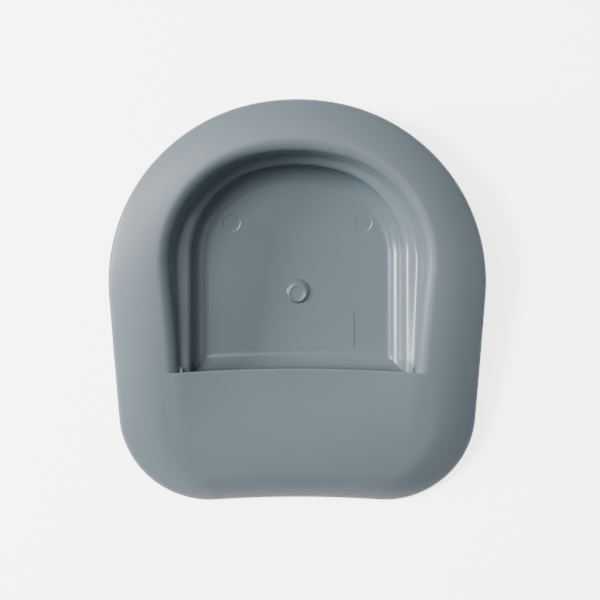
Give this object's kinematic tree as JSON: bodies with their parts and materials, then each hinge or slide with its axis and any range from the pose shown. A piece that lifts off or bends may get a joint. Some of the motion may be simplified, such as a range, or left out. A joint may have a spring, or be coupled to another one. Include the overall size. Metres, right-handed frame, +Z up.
{
  "type": "bedpan",
  "caption": "Wide wedge-shaped bedpan moulded in grey-blue plastic, with a broad crowned seat, a stepped basin and a dished front deck",
  "frame": {"origin": "on the floor under the centre of the bounding box", "axes": "+Z up, +Y towards the high rounded back of the seat, -Y towards the low front edge, +X to the pan's right seen from above with the back at the top"},
  "size_m": [0.3592, 0.3848, 0.0755],
  "materials": {
    "seat_plastic": "fine-textured matte polypropylene",
    "basin_plastic": "smooth satin polypropylene, glossier than the seat"
  },
  "bodies": {
    "root": {"seat_rim": "seat_plastic", "front_apron": "seat_plastic", "left_shoulder": "seat_plastic", "right_shoulder": "seat_plastic", "apron_lip": "seat_plastic", "rim_skirt": "seat_plastic", "front_edge": "seat_plastic", "upper_wall": "basin_plastic", "basin_ledge": "basin_plastic", "basin_wall": "basin_plastic", "front_wall": "basin_plastic", "basin_floor": "basin_plastic", "gate_boss": "basin_plastic", "ejector_marks": "basin_plastic", "blank_panel": "basin_plastic"}
  },
  "joints": []
}
